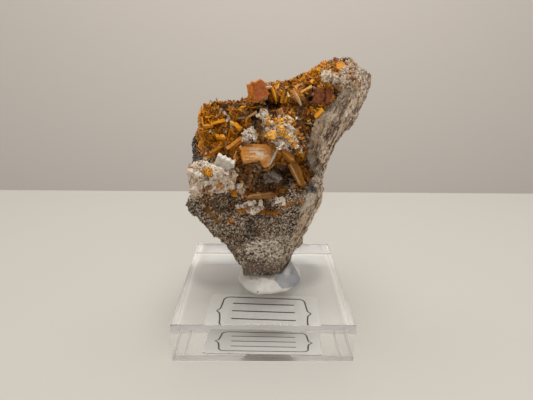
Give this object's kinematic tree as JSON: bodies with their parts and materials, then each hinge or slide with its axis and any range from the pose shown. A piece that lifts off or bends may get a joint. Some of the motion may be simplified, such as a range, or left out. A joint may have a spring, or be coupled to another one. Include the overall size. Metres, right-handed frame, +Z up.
{
  "type": "wulfenite on matrix",
  "caption": "Mineral specimen: rock lined with orange tabular wulfenite crystals and white calcite, fixed with putty on a square clear acrylic display block.",
  "frame": {"origin": "middle of the acrylic block's underside, which is what the specimen stands on", "axes": "+Z up, -Y towards the viewer of the crystal face, +X to that viewer's right; millimetre-true, in metres"},
  "size_m": [0.0565, 0.0508, 0.0812],
  "materials": {
    "clear_acrylic": "polished clear acrylic",
    "label_film": "matt printed label film with a dark frame line",
    "putty": "milky translucent mounting putty",
    "matrix_stone": "rough speckled grey-brown rock",
    "orange_wulfenite": "resinous orange-brown crystal plates",
    "red_wulfenite": "brick-red tabular crystal",
    "tan_wulfenite": "honey-tan tabular crystal",
    "white_calcite": "frosty white crystalline mineral"
  },
  "bodies": {
    "root": {"acrylic_block": "clear_acrylic", "label": "label_film", "mounting_putty": "putty", "matrix_rock": "matrix_stone", "wulfenite_crust": "orange_wulfenite", "wulfenite_red_twin": "red_wulfenite", "wulfenite_tan_plate": "tan_wulfenite", "wulfenite_upper_blade": "tan_wulfenite", "wulfenite_lower_blade": "tan_wulfenite", "wulfenite_ledge_blade": "tan_wulfenite", "wulfenite_brown_plate": "red_wulfenite", "wulfenite_brown_blade": "red_wulfenite", "wulfenite_orange_tip": "orange_wulfenite", "calcite_left_cluster": "white_calcite", "calcite_middle_seam": "white_calcite", "calcite_upper_patch": "white_calcite", "calcite_left_bridge": "white_calcite", "calcite_ledge_beads": "white_calcite", "calcite_white_tablet": "white_calcite"}
  },
  "joints": []
}
